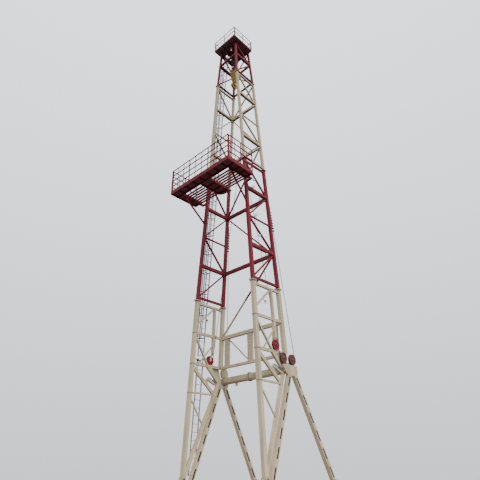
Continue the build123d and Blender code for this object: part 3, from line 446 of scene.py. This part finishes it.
def tread_height(tree, place, slope):
    """Crossed ridges on the faces that look up."""
    waves = []
    for turn in tread_turns:
        mapping = tree.nodes.new("ShaderNodeMapping")
        mapping.inputs["Rotation"].default_value = (0, 0, radians(turn))
        tree.links.new(place, mapping.inputs[0])
        wave = tree.nodes.new("ShaderNodeTexWave")
        wave.inputs["Scale"].default_value = tread_scale
        tree.links.new(mapping.outputs[0], wave.inputs["Vector"])
        waves.append(remap(tree, wave.outputs["Fac"], *tread_range))
    plate = calc(tree, "MULTIPLY", calc(tree, "MULTIPLY", *waves), slope)
    return calc(tree, "MAXIMUM", plate, 0)


def paint(name, colour, dirt_and_shade, wear, rough, shine=0.5, grain=0.05, tread=False):
    """Weathered paint: uneven colour, rain streaks, painted shade below and in recesses, worn
    edges.
    """
    material, tree, shader = new_material(name)
    link = tree.links.new
    shader.inputs["Specular IOR Level"].default_value = shine
    place = tree.nodes.new("ShaderNodeTexCoord").outputs["Object"]
    split = tree.nodes.new("ShaderNodeSeparateXYZ")
    link(tree.nodes.new("ShaderNodeNewGeometry").outputs["True Normal"], split.inputs[0])
    slope = split.outputs["Z"]
    patches = noise(tree, place, patch_scale, coarse_detail)
    # The second colour serves as the rain streaks' grime and as painted shade below and in recesses
    coat = blend_colour(tree, streaks_and_painted_shade_mask(tree, place, patches, slope), colour, dirt_and_shade)
    flecks = remap(tree, noise(tree, place, chip_scale, fine_detail), *chip_range)
    chips = calc(tree, "MULTIPLY", edge_mask(tree, chip_width), flecks)
    link(blend_colour(tree, chips, coat, wear), shader.inputs["Base Color"])
    rough_map = remap(tree, patches, 0, 1, rough - rough_below, rough + rough_above)
    link(rough_map, shader.inputs["Roughness"])

    height = calc(tree, "MULTIPLY", noise(tree, place, grain_scale, fine_detail), grain)
    if tread:
        height = calc(tree, "ADD", height, tread_height(tree, place, slope))
    add_bump(tree, shader, height, *paint_bump)
    return material


def strands(name, colour, dirt_and_shade):
    """Greased wire rope: strands laid round the line, as slanting bands; the colour is darker in
    the grooves between strands, painted shade, and in greasy smears.
    """
    material, tree, shader = new_material(name)
    link = tree.links.new
    shader.inputs["Metallic"].default_value = rope_metal
    shader.inputs["Roughness"].default_value = rope_rough
    place = tree.nodes.new("ShaderNodeTexCoord").outputs["Object"]
    wave = tree.nodes.new("ShaderNodeTexWave")
    wave.bands_direction = "DIAGONAL"
    wave.inputs["Scale"].default_value = strand_scale
    wave.inputs["Distortion"].default_value = strand_waver
    link(place, wave.inputs["Vector"])
    smears = noise(tree, place, grease_scale, fine_detail)
    # Painted shade: the grooves, where the bump is low, take the darker colour; greasy smears
    # darken it in patches
    grease_and_groove_shade = calc(tree, "MULTIPLY", wave.outputs["Fac"], smears)
    link(blend_colour(tree, grease_and_groove_shade, dirt_and_shade, colour), shader.inputs["Base Color"])
    add_bump(tree, shader, wave.outputs["Fac"], *strand_bump)
    return material


make_camera()
make_floor()
make_sky()
make_sun()

# One material for each material slot of the part, and further paints below them
# Each paint's second colour is its streak grime and also its painted shade on undersides and in
# recesses
materials = {
    "cream": paint("cream_paint", (0.56, 0.455, 0.295), (0.12, 0.085, 0.05), rust, 0.5, shine=0.2),
    "red": paint("red_paint", red, red_dirt_and_shade, bare, 0.55, shine=0.25),
    "rail": paint("rail_paint", (0.27, 0.23, 0.25), (0.17, 0.10, 0.10), bare, 0.5),
    "yellow": paint("yellow_paint", (0.44, 0.22, 0.02), (0.16, 0.075, 0.015), bare, 0.5, shine=0.3),
    "sheave": paint(
        "sheave_paint", (0.22, 0.007, 0.018), (0.08, 0.007, 0.011), bare, 0.5, shine=0.25,
    ),
    "steel": paint(
        "greased_steel", (0.06, 0.06, 0.065), (0.02, 0.02, 0.02), (0.2, 0.19, 0.18), 0.4,
    ),
    "rope": strands("wire_rope", (0.034, 0.038, 0.055), (0.012, 0.013, 0.018)),
    "base": paint("base_paint", (0.50, 0.40, 0.25), (0.11, 0.078, 0.045), rust, 0.55, shine=0.2),
}
tread_red = paint("red_tread_plate", red, red_dirt_and_shade, bare, 0.55, shine=0.25, tread=True)
lamp_glass = paint(
    "lamp_glass", (0.85, 0.87, 0.85), (0.6, 0.6, 0.58), (0.7, 0.7, 0.7), 0.2, grain=0.01,
)
glow = lamp_glass.node_tree.nodes["Principled BSDF"].inputs
glow["Emission Color"].default_value = glow_colour
glow["Emission Strength"].default_value = glow_strength
pipe_blue = paint("pipe_paint", (0.045, 0.12, 0.22), (0.03, 0.05, 0.08), bare, 0.4)
# Near black paint for the slots' floors: painted shade of the hollow legs' insides
slot_shade = paint(
    "slot_shade_paint", (0.035, 0.028, 0.022), (0.02, 0.016, 0.012), bare, 0.8, shine=0.1,
)
sheave_worn = paint(
    "sheave_worn_paint", (0.12, 0.020, 0.018), (0.06, 0.018, 0.013), (0.26, 0.13, 0.10), 0.6,
)
cage_paint = paint("cage_paint", (0.095, 0.075, 0.088), (0.06, 0.045, 0.05), bare, 0.5)
# The crown's paints have a paler, greyer second colour, so their painted shade below and in
# recesses is lighter than elsewhere
crown_tread = paint(
    "crown_tread_plate", (0.205, 0.012, 0.022), (0.22, 0.14, 0.145), bare, 0.6,
    shine=0.25, tread=True,
)
crown_red = paint(
    "crown_beam_paint", (0.19, 0.014, 0.024), (0.16, 0.085, 0.09), bare, 0.6, shine=0.25,
)

# Nodes whose paint differs from their material slot's
special = {
    "racking_walkway": tread_red, "racking_tongue": tread_red, "crown_platform": crown_tread,
    "crown_beams": crown_red, "crown_sheaves": materials["red"], "ladder": materials["rail"],
}
for guide in ("front", "rear"):
    for end in ("left", "right"):
        special["guide_sheave_%s_%s" % (guide, end)] = sheave_worn
for row in frame["record"]["subparts"]:
    slots = nodes[row["node"]].data.materials
    slots.clear()
    slots.append(special.get(row["node"], materials[row["material_slot"]]))


# Mesh helpers
def facing(place, direction, along=Vector((0, 0, 1))):
    """A place whose local Z looks along a direction, with local X as near to along as can be."""
    z = Vector(direction).normalized()
    if abs(z.dot(along)) > nearly_parallel:
        along = Vector((1, 0, 0))
    y = z.cross(along).normalized()
    turn = Matrix((y.cross(z), y, z)).transposed()
    return Matrix.Translation(place) @ turn.to_4x4()


def skin(bm, rings):
    """Join rings of as many vertices each into a surface, closed at both ends."""
    count = len(rings[0])
    for lower, upper in zip(rings, rings[1:]):
        for i in range(count):
            j = (i + 1) % count
            bm.faces.new((lower[i], lower[j], upper[j], upper[i]))
    bm.faces.new(list(reversed(rings[0])))
    bm.faces.new(rings[-1])


def circle(bm, place, radius, height, sides):
    """A ring of vertices about the place's local Z."""
    ring = []
    for i in range(sides):
        a = 2 * pi * i / sides
        ring.append(bm.verts.new(place @ Vector((radius * cos(a), radius * sin(a), height))))
    return ring


def turned(bm, place, profile, sides=12):
    """A turned form: rings of (radius, height) about the place's local Z, closed at both ends."""
    skin(bm, [circle(bm, place, radius, height, sides) for radius, height in profile])


def slab(bm, place, size, chamfer=0.15):
    """A plate on the place's local XY plane, with its upper edges chamfered."""
    x, y, z = size[0] / 2, size[1] / 2, size[2]
    cut = chamfer * z
    rings = []
    for dx, dy, height in ((x, y, 0), (x, y, z - cut), (x - cut, y - cut, z)):
        corners = ((-dx, -dy), (dx, -dy), (dx, dy), (-dx, dy))
        rings.append([bm.verts.new(place @ Vector((u, v, height))) for u, v in corners])
    skin(bm, rings)


def strap(bm, points, outward, width, thickness):
    """A flat strap along points; outward gives each point's face direction."""
    rings = []
    for i, point in enumerate(points):
        run = (points[min(i + 1, len(points) - 1)] - points[max(i - 1, 0)]).normalized()
        face = (outward[i] - run * outward[i].dot(run)).normalized()
        edge = run.cross(face)
        ring = []
        for a, b in ((-1, -1), (1, -1), (1, 1), (-1, 1)):
            corner = point + edge * (a * width / 2) + face * (b * thickness / 2)
            ring.append(bm.verts.new(corner))
        rings.append(ring)
    skin(bm, rings)


def pipe(bm, points, radius, sides=10):
    """A round pipe through points, its corners mitred."""
    rings = []
    for i, point in enumerate(points):
        before = (point - points[i - 1]).normalized() if i else None
        after = (points[i + 1] - point).normalized() if i + 1 < len(points) else None
        run = (before or after) + (after or before)
        place = facing(point, run, pipe_seam)
        rings.append(circle(bm, place, radius, 0, sides))
    skin(bm, rings)


def finish_piece(name, bm, slot, body="root", material=None):
    """Turn a built mesh into a piece that rides on a body."""
    bmesh.ops.recalc_face_normals(bm, faces=bm.faces)
    for face in bm.faces:
        face.smooth = True
    for edge in bm.edges:
        edge.smooth = edge.calc_face_angle(0) < smooth_limit
    mesh = bpy.data.meshes.new(name)
    bm.to_mesh(mesh)
    bm.free()
    mesh.materials.append(material or materials[slot])
    piece = bpy.data.objects.new(name, mesh)
    bpy.context.collection.objects.link(piece)
    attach(piece, body)
    return piece


def bolt(bm, point, direction, size=1.0):
    """A hexagon head on a washer."""
    place = facing(point, direction)
    washer = bolt_radius * washer_reach * size
    head = bolt_radius * size
    step = bolt_height * size
    seat = step * washer_share
    turned(bm, place, [(washer, 0), (washer, seat)], 12)
    turned(
        bm, place @ Matrix.Translation((0, 0, seat)),
        [(head, 0), (head, step * head_shoulder), (head * head_crown, step)], 6,
    )


def scaled(profile, size):
    return [(radius * size, height * size) for radius, height in profile]


# Mast leg lines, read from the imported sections
def low(node):
    return Vector(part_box(node)[0])


def high(node):
    return Vector(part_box(node)[1])


def middle(node):
    return (low(node) + high(node)) / 2


def read_stations():
    """Height, half width, front Y and back Y of the leg lines at the foot, joints and top."""
    back = high("mast_upper_left").y - leg_half["mast_upper"] - collar_margin
    foot = low("mast_bottom_left")
    half = leg_half["mast_bottom"]
    rows = [(foot.z, -foot.x - half, foot.y + half, back)]
    for section in ("mast_lower", "mast_upper", "crown_section"):
        corner = low(section + "_left")
        half = leg_half[section] + collar_margin
        rows.append((corner.z, -corner.x - half, corner.y + half, back))
    cap_low, cap_high = low("crown_beams"), high("crown_beams")
    half = leg_half["crown_section"]
    top_z = high("crown_section_left").z
    rows.append((top_z, -cap_low.x - half, cap_low.y + half, cap_high.y - half))
    return rows


stations = read_stations()
joint_zs = [row[0] for row in stations[1:4]]


def leg_point(side, face, z):
    """The point of a mast leg's middle line at a height, on the front or the back."""
    for lower, upper in zip(stations, stations[1:]):
        if z <= upper[0]:
            break
    share = (z - lower[0]) / (upper[0] - lower[0])
    column = 2 if face == "front" else 3
    x = lower[1] + share * (upper[1] - lower[1])
    return Vector((side * x, lower[column] + share * (upper[column] - lower[column]), z))


# Bolts of the section joints, under and over each pair of joint plates
def joint_bolts():
    bm = bmesh.new()
    sections = ("mast_bottom", "mast_lower", "mast_upper", "crown_section")
    around = [(u, v) for u in (-1, 0, 1) for v in (-1, 0, 1) if u or v]
    for i, z in enumerate(joint_zs):
        for section, direction in ((sections[i], -1), (sections[i + 1], 1)):
            reach = leg_half[section] + collar_margin / 2
            rise = direction * collar_thickness
            for side in (-1, 1):
                for face in ("front", "back"):
                    leg = leg_point(side, face, z)
                    for u, v in around:
                        spot = leg + Vector((u * reach, v * reach, rise))
                        bolt(bm, spot, (0, 0, direction), joint_bolt)
    finish_piece("joint_bolts", bm, "steel")


# Ladder's safety cage
def ladder_point(z, out, shift):
    place = leg_point(-1, "front", min(z, stations[-1][0]))
    return Vector((place.x - ladder_offset - out, place.y + ladder_from_leg + shift, z))


def cage_curve(a, inset=0):
    """A hoop's distance from the ladder and its shift across it, at an angle round the hoop."""
    out = cage_start + (cage_depth - cage_start - inset) * sin(a)
    return out, -(cage_half_width - inset) * cos(a)


def ladder_cage():
    bm = bmesh.new()
    hoop = [cage_curve(pi * i / hoop_steps) for i in range(hoop_steps + 1)]
    path = [(0, -ladder_half_gap), *hoop, (0, ladder_half_gap)]
    count = int((low("crown_platform").z - cage_foot_z) / cage_pitch)
    for k in range(count + 1):
        z = cage_foot_z + k * cage_pitch
        points = [ladder_point(z, out, shift) for out, shift in path]
        inside = ladder_point(z, cage_depth / 3, 0)
        strap(bm, points, [point - inside for point in points], cage_strap, cage_plate)
    ends = [cage_foot_z, *joint_zs[1:], cage_foot_z + count * cage_pitch]
    for i in range(cage_strips):
        a = pi * i / (cage_strips - 1)
        points = [ladder_point(z, *cage_curve(a, cage_plate)) for z in ends]
        outward = Vector((-sin(a), -cos(a), 0))
        strap(bm, points, [outward] * len(points), cage_strap, cage_plate)
    finish_piece("ladder_cage", bm, "rail", material=cage_paint)


# Clips on the dead ends of the raising lines
def rope_clip(bm, place):
    """A clip round a rope that runs along the place's local Z, with its nuts towards local X."""
    neck, belly = rope_radius + clip_wall, rope_radius + 2 * clip_wall
    turned(
        bm, place @ Matrix.Translation((0, 0, -clip_length / 2)),
        [(neck, 0), (belly, clip_taper), (belly, clip_length - clip_taper), (neck, clip_length)],
        10,
    )
    outward = place.to_3x3() @ Vector((1, 0, 0))
    for across in (-1, 1):
        stud = place @ Vector((-clip_stud_back, across * clip_stud_y, 0))
        pipe(bm, [stud, stud + outward * clip_stud_length], clip_stud_radius, 8)
        bolt(bm, stud + outward * clip_nut_out, outward, clip_nut)
    slab(bm, place @ facing(Vector((clip_stud_y, 0, 0)), (1, 0, 0)), clip_saddle)


def rope_clips():
    for side, name in ((-1, "left"), (1, "right")):
        start = middle("guide_sheave_rear_" + name)
        start.y = high("raising_line_" + name).y - rope_radius
        end = leg_point(side, "back", high("mast_lower_" + name).z - rope_anchor_drop)
        end.y = end.y + leg_half["mast_lower"] + rope_anchor_out - rope_radius
        run = (end - start).normalized()
        bm = bmesh.new()
        for i in range(clip_count):
            z = clip_top_z - i * clip_pitch
            spot = start + run * ((z - start.z) / run.z)
            rope_clip(bm, facing(spot, run, Vector((side, 0, 0))))
        finish_piece("rope_clips_" + name, bm, "steel")


# Lamps: a bell housing with its glass on a bracket
def lamp(metal, glass, mount, head, aim, size=1.0):
    """A lamp on an arm from its mount to its head, looking along aim."""
    mount, head, aim = Vector(mount), Vector(head), Vector(aim).normalized()
    out = (head - mount).normalized()
    arm_width, arm_thickness = lamp_arm
    strap(metal, [mount, head], [aim.cross(out)] * 2, arm_width * size, arm_thickness)
    plate, thickness = lamp_plate
    seat = facing(mount - out * (thickness / 2), out)
    slab(metal, seat, (plate * size, plate * size, thickness))
    place = facing(head - aim * lamp_back * size, aim)
    turned(metal, place, scaled(lamp_bell, size), lamp_sides)
    mouth = place @ Matrix.Translation((0, 0, lamp_bell[-1][1] * size))
    turned(glass, mouth, scaled(lamp_lens, size), lamp_sides)


def mast_lamps():
    metal, glass = bmesh.new(), bmesh.new()
    for mount, head in side_lamps:
        lamp(metal, glass, mount, head, side_lamp_aim, side_lamp_size)
    for side in (-1, 1):
        mount, head, aim = ((side * x, y, z) for x, y, z in (*brace_lamp, brace_lamp_aim))
        lamp(metal, glass, mount, head, aim, brace_lamp_size)
    lamp(metal, glass, *knee_lamp, knee_lamp_aim, knee_lamp_size)
    finish_piece("lamp_housings", metal, "steel")
    finish_piece("lamp_glasses", glass, "steel", material=lamp_glass)

    bar = bmesh.new()
    spot = Vector((*bar_lamp_place, high("crown_beams").z))
    for shift in (-bar_lamp_hanger_x, bar_lamp_hanger_x):
        slab(bar, facing(spot + Vector((shift, 0, 0)), (0, 0, -1)), bar_lamp_hanger)
    start = spot - Vector((bar_lamp_profile[-1][1] / 2, 0, bar_lamp_drop))
    turned(bar, facing(start, (1, 0, 0)), bar_lamp_profile, 12)
    finish_piece("crown_bar_lamp", bar, "steel", material=lamp_glass)


# Nuts on the guide sheaves' pins, each with four small bolts round it
def pin_nuts():
    bm = bmesh.new()
    for name, side in (("left", -1), ("right", 1)):
        for guide in ("mast", "front", "rear"):
            sheave = "guide_sheave_%s_%s" % (guide, name)
            half = (high(sheave).x - low(sheave).x) / 2
            spot = middle(sheave) + Vector((side * (half + pin_nut_out), 0, 0))
            bolt(bm, spot, (side, 0, 0), pin_nut)
            for i in range(keeper_count):
                a = pi / 4 + 2 * pi * i / keeper_count
                around = Vector((0, keeper_ring * cos(a), keeper_ring * sin(a)))
                bolt(bm, spot + around, (side, 0, 0), keeper_bolt)
    finish_piece("pin_nuts", bm, "steel")


# Bolts round the cross tube's flanges
def flange_bolts():
    bm = bmesh.new()
    tube, top = middle("frame_cross_tube"), high("frame_cross_tube")
    tube_z = top.z - tube_flange_radius
    faces = (
        (tube_joint_x - tube_flange_half, -1), (tube_joint_x + tube_flange_half, 1),
        (top.x - tube_flange_half, -1), (tube_flange_half - top.x, 1),
    )
    for x, direction in faces:
        for i in range(flange_bolt_count):
            a = 2 * pi * (i + 0.5) / flange_bolt_count
            y = tube.y + flange_bolt_ring * cos(a)
            z = tube_z + flange_bolt_ring * sin(a)
            bolt(bm, Vector((x, y, z)), (direction, 0, 0), flange_bolt)
    finish_piece("flange_bolts", bm, "steel")


# Raising frame's legs, with wider slots than the solids have, and dark sheets on the slots' floors
# as painted shade of the hollow legs' insides
def frame_leg(name, foot, top, shade_sheets):
    """A box leg with level ends and a row of slots down its outer and inner faces."""
    bm = bmesh.new()
    x, y = frame_leg_size[0] / 2, frame_leg_size[1] / 2
    shares = [0]
    for i in range(leg_slot_count):
        shares += [(i + share) / leg_slot_count for share in leg_slot_ends]
    shares.append(1)
    across = (-y, -leg_slot_width / 2, leg_slot_width / 2, y)

    def corner(share, out, shift):
        return foot + (top - foot) * share + Vector((out, shift, 0))

    def slot_at(face, i, ring):
        """Sink a cell of the leg's face as a slot, and lay a dark sheet of painted shade on its
        floor.
        """
        sunk = [bm.verts.new(vert.co - Vector((face * leg_slot_sink, 0, 0))) for vert in ring]
        for k in range(4):
            n = (k + 1) % 4
            bm.faces.new((ring[k], ring[n], sunk[n], sunk[k]))
        bm.faces.new(sunk)
        out = face * (x - leg_slot_sink + shade_sheet_thickness / 2)
        ends = [corner(share, out, 0) for share in shares[i:i + 2]]
        width = leg_slot_width - shade_sheet_thickness
        strap(shade_sheets, ends, [Vector((face, 0, 0))] * 2, width, shade_sheet_thickness)

    grids = {}
    for face in (-1, 1):
        grid = [[bm.verts.new(corner(share, face * x, v)) for v in across] for share in shares]
        grids[face] = grid
        for i in range(len(shares) - 1):
            for j in range(3):
                ring = [grid[i][j], grid[i][j + 1], grid[i + 1][j + 1], grid[i + 1][j]]
                if j == 1 and i % 2:
                    slot_at(face, i, ring)
                else:
                    bm.faces.new(ring)
    inner, outer = grids[-1], grids[1]
    for i in range(len(shares) - 1):
        for j in (0, 3):
            bm.faces.new((inner[i][j], outer[i][j], outer[i + 1][j], inner[i + 1][j]))
    for i in (0, -1):
        bm.faces.new(inner[i] + list(reversed(outer[i])))
    piece = finish_piece(name + "_slotted", bm, "cream")
    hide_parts(name)


def frame_legs():
    shade_sheets = bmesh.new()
    for name, (foot_y, top_y) in (("front", front_leg_ys), ("rear", rear_leg_ys)):
        for end, side in (("left", -1), ("right", 1)):
            node = "frame_%s_leg_%s" % (name, end)
            foot = Vector((side * frame_foot_x, foot_y, low(node).z))
            top = Vector((side * frame_head_x, top_y, high(node).z))
            frame_leg(node, foot, top, shade_sheets)
    # The dark sheets in the slots are painted shade
    finish_piece("leg_slot_shade_sheets", shade_sheets, "cream", material=slot_shade)


# Rows of holes down the portal posts, drawn as thin dark discs on the face: painted shade in place
# of holes
def post_hole_shades():
    bm = bmesh.new()
    foot_z = low("mast_bottom_back").z + hole_foot
    for x in post_xs:
        for shift in hole_columns:
            for i in range(hole_rows):
                spot = Vector((x + shift, post_face_y, foot_z + i * hole_pitch))
                place = facing(spot, (0, -1, 0))
                # A dark steel disc just proud of the face, painted shade where a hole would be
                turned(bm, place, [(hole_radius, 0), (hole_radius, hole_rim)], 14)
    finish_piece("post_hole_shades", bm, "steel")


# Travelling block's cheek bolts
def block_bolts():
    bm = bmesh.new()
    cap_x = high("travelling_block").x
    face_x = cap_x - block_cap
    shaft_z = low("travelling_block").z + block_shaft_rise
    for side in (-1, 1):
        bolt(bm, Vector((side * cap_x, 0, shaft_z)), (side, 0, 0), shaft_nut)
        for i in range(cheek_bolt_count):
            a = 2 * pi * i / cheek_bolt_count
            y, z = cheek_bolt_ring * cos(a), shaft_z + cheek_bolt_ring * sin(a)
            bolt(bm, Vector((side * face_x, y, z)), (side, 0, 0), cheek_bolt)
        for rise in spine_rises:
            bolt(bm, Vector((side * face_x, 0, shaft_z + rise)), (side, 0, 0), spine_bolt)
    finish_piece("block_bolts", bm, "steel", body="travelling_block")


# Bent guard plates between the block's cheeks, outside its lines
def block_guards():
    bm = bmesh.new()
    block_low, block_high = low("travelling_block"), high("travelling_block")
    shaft = Vector((0, 0, block_low.z + block_shaft_rise))
    half_x = block_high.x - block_cap - guard_inset
    reach = block_high.y - guard_inset
    foot_y, foot_rise = guard_foot
    for face in (-1, 1):
        points = [Vector((0, face * foot_y, block_low.z + foot_rise))]
        outward = [Vector((0, face, guard_foot_slope))]
        for i in range(guard_count):
            a = radians(guard_from + guard_step * i)
            normal = Vector((0, face * cos(a), sin(a)))
            points.append(shaft + normal * reach)
            outward.append(normal)
        strap(bm, points, outward, 2 * half_x, guard_plate)
        lip = points[-1] + Vector((0, 0, guard_lip))
        half = Vector((half_x, 0, 0))
        pipe(bm, [lip - half, lip + half], guard_lip)
    finish_piece("block_guards", bm, "yellow", body="travelling_block")


# Pins through the lugs of the foot shoes
def shoe_pins():
    bm = bmesh.new()
    feet = (
        (*mast_foot, leg_half["mast_bottom"]),
        (frame_foot_x, front_leg_ys[0], frame_foot_z, frame_leg_size[0] / 2),
        (frame_foot_x, rear_leg_ys[0], frame_foot_z, frame_leg_size[0] / 2),
    )
    for x, y, z, half in feet:
        for side in (-1, 1):
            for face in (-1, 1):
                pin_x = side * x + face * (half + shoe_lug_out)
                spot = Vector((pin_x, y, z + shoe_pin_rise))
                turned(bm, facing(spot, (face, 0, 0)), shoe_pin_profile, 16)
    finish_piece("shoe_pins", bm, "steel")


# Feet under the guard rails' posts
def rail_feet():
    bm = bmesh.new()
    rail_low, rail_high = low("crown_rails"), high("crown_rails")
    inset_x, inset_y = rail_post_inset
    for y in (rail_low.y + inset_y, rail_high.y - inset_y):
        for x in (rail_low.x + inset_x, 0, rail_high.x - inset_x):
            slab(bm, facing(Vector((x, y, rail_low.z)), (0, 0, 1)), rail_foot)
            bolt_y = y + (rail_bolt_y if y < 0 else -rail_bolt_y)
            for shift in (-rail_bolt_x, rail_bolt_x):
                spot = Vector((x + shift, bolt_y, rail_low.z + rail_foot[2]))
                bolt(bm, spot, (0, 0, 1), rail_bolt)
    finish_piece("rail_feet", bm, "rail")


# Hydraulic pipes on the buffer cylinders
def buffer_pipes():
    bm = bmesh.new()
    x = leg_point(1, "front", buffer_support_z).x
    for side in (-1, 1):
        front, rear = Vector((side * x, *buffer_front)), Vector((side * x, *buffer_rear))
        run = (rear - front).normalized()
        lift = Vector((0, -run.z, run.y))
        start, end = front + run * pipe_inset, rear - run * pipe_inset
        points = [
            start + lift * pipe_seat, start + lift * pipe_elbow,
            start + lift * pipe_rise + run * pipe_turn, end + lift * pipe_rise - run * pipe_turn,
            end + lift * pipe_elbow, end + lift * pipe_seat,
        ]
        pipe(bm, points, pipe_radius)
        for spot in (start, end):
            turned(bm, facing(spot + lift * pipe_seat, lift), pipe_nut, 6)
        for share in pipe_clamp_shares:
            ring = start + (end - start) * share
            slab(bm, facing(ring + lift * pipe_seat, lift, run), pipe_clamp)
    finish_piece("buffer_pipes", bm, "steel", material=pipe_blue)


joint_bolts()
ladder_cage()
rope_clips()
mast_lamps()
pin_nuts()
flange_bolts()
frame_legs()
post_hole_shades()
block_bolts()
block_guards()
shoe_pins()
rail_feet()
buffer_pipes()
